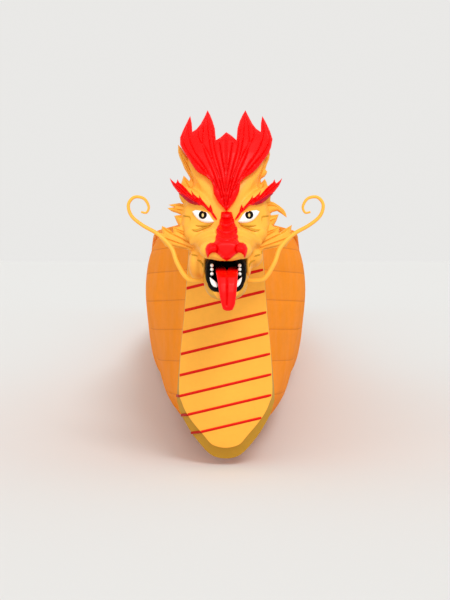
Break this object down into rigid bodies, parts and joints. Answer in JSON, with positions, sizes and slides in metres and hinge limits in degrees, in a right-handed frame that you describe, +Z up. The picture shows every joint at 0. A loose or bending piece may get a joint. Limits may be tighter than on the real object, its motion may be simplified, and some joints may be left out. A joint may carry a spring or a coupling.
{
  "type": "dragon boat",
  "caption": "Long narrow open paddling boat with a carved dragon head over a striped chest board, benches, a drum, a tail and a steering oar.",
  "frame": {"origin": "on the centreline amidships, at the waterline of the empty boat", "axes": "+Z up, -Y towards the bow and the dragon head, +Y towards the stern, +X to port"},
  "size_m": [1.179, 14.2227, 2.066],
  "materials": {
    "hull_paint": "orange gloss paint",
    "pale_wood": "pale varnished wood",
    "chest_ochre": "ochre gloss paint",
    "chest_amber": "amber gloss paint with slanting red stripes",
    "head_amber": "amber gloss paint",
    "dragon_red": "red gloss paint",
    "tongue_red": "red gloss paint",
    "mouth_black": "matt black paint with white teeth",
    "eye_white": "white gloss paint with a black pupil",
    "drum_red": "red lacquer",
    "drum_skin": "stretched hide",
    "dull_steel": "dull stainless steel"
  },
  "bodies": {
    "hull": {"hull_bow": "hull_paint", "hull_fore": "hull_paint", "hull_aft": "hull_paint", "hull_stern": "hull_paint", "bow_board": "hull_paint", "stern_board": "hull_paint", "foredeck": "hull_paint", "afterdeck": "hull_paint", "bench_1": "pale_wood", "bench_2": "pale_wood", "bench_3": "pale_wood", "bench_4": "pale_wood", "bench_5": "pale_wood", "bench_6": "pale_wood", "bench_7": "pale_wood", "bench_8": "pale_wood", "bench_9": "pale_wood", "bench_10": "pale_wood", "drummer_floor": "pale_wood", "helm_floor": "pale_wood", "drum_stand": "pale_wood", "drummer_seat_frame": "pale_wood", "drummer_seat": "pale_wood", "chest_board": "chest_ochre", "chest_plate": "chest_amber", "head_shell": "head_amber", "lower_jaw": "head_amber", "ear_port": "head_amber", "ear_starboard": "head_amber", "cheek_frill_port": "head_amber", "cheek_frill_starboard": "head_amber", "whisker_port": "head_amber", "whisker_starboard": "head_amber", "neck": "head_amber", "tail": "head_amber", "nose": "dragon_red", "crest": "dragon_red", "brow_port": "dragon_red", "brow_starboard": "dragon_red", "nape_mane": "dragon_red", "tail_flames": "dragon_red", "tongue": "tongue_red", "mouth_lining": "mouth_black", "eye_port": "eye_white", "eye_starboard": "eye_white", "drum_shell": "drum_red", "drum_head": "drum_skin", "oar_beam": "dull_steel"},
    "oarlock": {"oarlock": "dull_steel"},
    "oar": {"oar_shaft": "pale_wood", "oar_blade": "pale_wood"}
  },
  "joints": [
    {"name": "oar_yaw", "type": "hinge", "parent": "hull", "child": "oarlock", "pos_m": [0.35, 5.555, 0.86349], "axis": [0, 0, 1], "range_deg": [-40, 10]},
    {"name": "oar_pitch", "type": "hinge", "parent": "oarlock", "child": "oar", "pos_m": [0.35, 5.555, 0.86349], "axis": [1, 0, 0], "range_deg": [-12, 25]}
  ]
}
